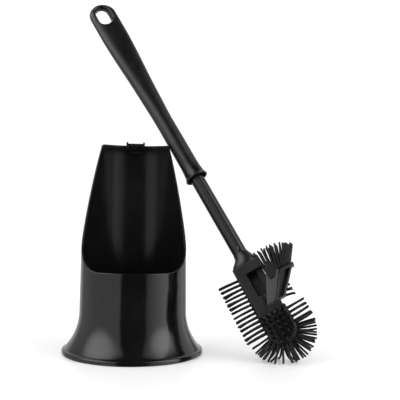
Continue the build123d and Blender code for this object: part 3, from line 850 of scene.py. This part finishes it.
BACK_ROWS, BACK_PITCH, BACK_MIDDLE = 10, 5.9, 24.0
back_stand = []
for column in (-1, 0, 1):
    for row in range(BACK_ROWS):
        start = (END_X + 5.2 * column, FACE_ROOT, BACK_MIDDLE + BACK_PITCH * (row - (BACK_ROWS - 1) / 2))
        back_stand.append((start, (0.15 * column, 1, 0), (0.05 * column, 0, -0.1)))
back_outline = rounded_oblong(8, 31, 4.0, 48) + (END_X, BACK_MIDDLE)
brush_strip("back_pad", "back_bristles", back_stand, 11.0, slab(back_outline, FACE_LOW, FACE_HIGH))

RIDGE_X, RIDGE_Z = 22.3, 45.5
# The rim's row of bristles fans out along the arm's top.
RIM_COLUMNS, RIM_START, RIM_PITCH = 10, 12.4, 2.3
RIM_RUN = (RIM_COLUMNS - 1) * RIM_PITCH
RIM_LEAN, RIM_FAN = -1.0, 37.0
RIM_LENGTH, RIM_CROWN, RIM_FALL = 24.3, 2.8, 5.0


def arm_top(x):
    """Height of the rim arm's top edge at x."""
    return RIDGE_Z - (x - RIDGE_X) * ARM_TILT + np.maximum(x - ARM_BEND, 0) * ARM_RISE


def rim_length(start):
    """The rim's bristles are longest in the middle of the row."""
    share = (start[0] - RIM_START) / RIM_RUN
    return RIM_LENGTH + RIM_CROWN * math.sin(math.pi * min(max(share, 0), 1)) - RIM_FALL * share


def lift_to_arm(local):
    """Lays the rim strip's flat pad along the arm's top edge."""
    local[:, 2] += arm_top(local[:, 0])
    return local


rim_stand = []
for column in range(RIM_COLUMNS):
    for lane in LANES:
        lean = math.radians(RIM_LEAN + RIM_FAN * column / (RIM_COLUMNS - 1))
        x = RIM_START + (column + 0.3 * lane) * RIM_PITCH
        z = arm_top(x) + 0.4
        way = (math.sin(lean), 0.06 * lane, math.cos(lean))
        rim_stand.append(((x, 0.9 + 2.6 * lane, z), way, (-0.05, 0.05 * lane, 0)))
rim_outline = [(10.8, -2.6), (10.8, 4.6), (34.0, 4.6), (34.0, -2.2), (23.0, -2.9)]
rim_pad = slab(rim_outline, 0.0, 1.2, flat=(0, 1), across=2)
shape_moulding(rim_pad, lift_to_arm)
brush_strip("rim_row", "rim_bristles", rim_stand, rim_length, rim_pad, thickness=0.9)


# ---- camera: level, turned a little to the right, and rolled by under a degree -----------------
CAMERA_AT = Vector((0.0, -0.6652, 0.1371))
CAMERA_YAW = math.atan(65.2 / 720)
CAMERA_ROLL = math.radians(0.9)
camera_data = bpy.data.cameras.new("camera")
camera_data.lens = 64.8
camera_data.sensor_width = 36.0
camera_data.shift_y = 0.00875
camera_data.clip_start = 0.05
camera_data.clip_end = 20.0
camera = bpy.data.objects.new("camera", camera_data)
bpy.context.scene.collection.objects.link(camera)
camera.matrix_world = (
    Matrix.Translation(CAMERA_AT)
    @ Matrix.Rotation(-CAMERA_YAW, 4, "Z")
    @ Matrix.Rotation(math.radians(90), 4, "X")
    @ Matrix.Rotation(CAMERA_ROLL, 4, "Z")
)
bpy.context.scene.camera = camera


# ---- studio ------------------------------------------------------------------------------------
# Brightness of the lights round the object, by their direction in degrees from straight in front
# (left is negative): a wide soft box on the left, a narrower one and a strip on the right, dark
# between them, where the camera stands.
LIGHTS_ROUND = (
    (-180, 0.75), (-146, 0.70), (-138, 0.36), (-111, 0.60), (-79, 0.80), (-29, 0.93), (-25, 0.02),
    (25, 0.02), (29, 0.55), (66, 1.66), (79, 1.78), (82, 0.06), (107, 0.06), (111, 0.76), (139, 0.80),
    (142, 0.12), (147, 0.12), (150, 0.75), (180, 0.75),
)
# Their bright middles: direction, height above level, radius, in degrees, and brightness.
HOT_SPOTS = ((-75, 39, 34, 2.3), (67, 31, 30, 2.0))
# The lights fade out towards the floor and the ceiling, between these heights in degrees.
FADE_LOW, FADE_HIGH = (-80, -60), (68, 56)
ROOM_GLOW, BACKDROP, SOFT_DOME = 0.02, 1.05, 1.0
FLOOR_REACH = 3000


def studio_world():
    """A white studio seen by the camera, with the lights above for reflections and an even soft dome."""
    world = bpy.data.worlds.new("studio")
    world.use_nodes = True
    tree = world.node_tree
    nodes, links = tree.nodes, tree.links
    nodes.clear()

    def compute(operation, *values):
        """The result of one operation on values, each a number or a node's output."""
        made = nodes.new("ShaderNodeMath")
        made.operation = operation
        for index, value in enumerate(values):
            if isinstance(value, (int, float)):
                made.inputs[index].default_value = value
            else:
                links.new(value, made.inputs[index])
        return made.outputs[0]

    def rise_between(value, low, high):
        """0 below low, 1 above high and smooth between."""
        made = nodes.new("ShaderNodeMapRange")
        made.interpolation_type = "SMOOTHSTEP"
        links.new(value, made.inputs["Value"])
        made.inputs["From Min"].default_value = low
        made.inputs["From Max"].default_value = high
        return made.outputs["Result"]

    def choose(when, value, otherwise):
        """value where when is 1, and otherwise where it is 0."""
        made = nodes.new("ShaderNodeMix")
        links.new(when, made.inputs["Factor"])
        for socket, source in (("A", otherwise), ("B", value)):
            if isinstance(source, (int, float)):
                made.inputs[socket].default_value = source
            else:
                links.new(source, made.inputs[socket])
        return made.outputs["Result"]

    way = nodes.new("ShaderNodeTexCoord").outputs["Generated"]
    parts = nodes.new("ShaderNodeSeparateXYZ")
    links.new(way, parts.inputs["Vector"])
    x, y, z = parts.outputs
    turn = compute("ARCTAN2", x, compute("MULTIPLY", y, -1.0))
    rise = compute("ARCSINE", z)
    ramp = nodes.new("ShaderNodeValToRGB")
    links.new(compute("ADD", compute("MULTIPLY", turn, 0.5 / math.pi), 0.5), ramp.inputs["Fac"])
    stops = ramp.color_ramp.elements
    while len(stops) < len(LIGHTS_ROUND):
        stops.new(0.5)
    for stop, (degrees, _) in zip(stops, LIGHTS_ROUND):
        stop.position = 0.5 + degrees / 360
    for stop, (_, level) in zip(stops, LIGHTS_ROUND):
        stop.color = (level / 2, level / 2, level / 2, 1)
    level = nodes.new("ShaderNodeSeparateColor")
    links.new(ramp.outputs["Color"], level.inputs["Color"])
    low_fade, high_fade = (
        rise_between(rise, math.radians(dark), math.radians(lit)) for dark, lit in (FADE_LOW, FADE_HIGH)
    )
    full = compute("MULTIPLY", level.outputs[0], 2.0)
    boxes = compute("MULTIPLY", full, compute("MULTIPLY", low_fade, high_fade))
    for degrees, height, radius, bright in HOT_SPOTS:
        aim_turn, aim_rise = math.radians(degrees), math.radians(height)
        level_part = math.cos(aim_rise)
        aim_x, aim_y = math.sin(aim_turn) * level_part, -math.cos(aim_turn) * level_part
        aim = nodes.new("ShaderNodeVectorMath")
        aim.operation = "DOT_PRODUCT"
        links.new(way, aim.inputs[0])
        aim.inputs[1].default_value = (aim_x, aim_y, math.sin(aim_rise))
        spot = rise_between(aim.outputs["Value"], math.cos(math.radians(radius)), 1.0)
        boxes = compute("ADD", boxes, compute("MULTIPLY", spot, bright))
    boxes = compute("ADD", boxes, ROOM_GLOW)
    path = nodes.new("ShaderNodeLightPath")
    strength = choose(path.outputs["Is Diffuse Ray"], SOFT_DOME, boxes)
    strength = choose(path.outputs["Is Camera Ray"], BACKDROP, strength)
    background = nodes.new("ShaderNodeBackground")
    background.inputs["Color"].default_value = (1, 1, 1, 1)
    links.new(strength, background.inputs["Strength"])
    output = nodes.new("ShaderNodeOutputWorld")
    links.new(background.outputs["Background"], output.inputs["Surface"])
    bpy.context.scene.world = world


studio_world()
bpy.context.scene.view_settings.view_transform = "Standard"

corners = [(x * FLOOR_REACH, y * FLOOR_REACH, 0) for x, y in ((-1, -1), (1, -1), (1, 1), (-1, 1))]
floor = new_piece("floor", corners, [(0, 1, 2, 3)])
floor_paint = Shader("floor_paint", 0.35, Specular_IOR_Level=0.35)
floor_paint.surface.inputs["Base Color"].default_value = (0.86, 0.86, 0.87, 1)
floor_paint.surface.inputs["Emission Color"].default_value = (1, 1, 1, 1)
floor_paint.surface.inputs["Emission Strength"].default_value = 0.16
floor.data.materials.append(floor_paint.material)
floor.visible_glossy = False
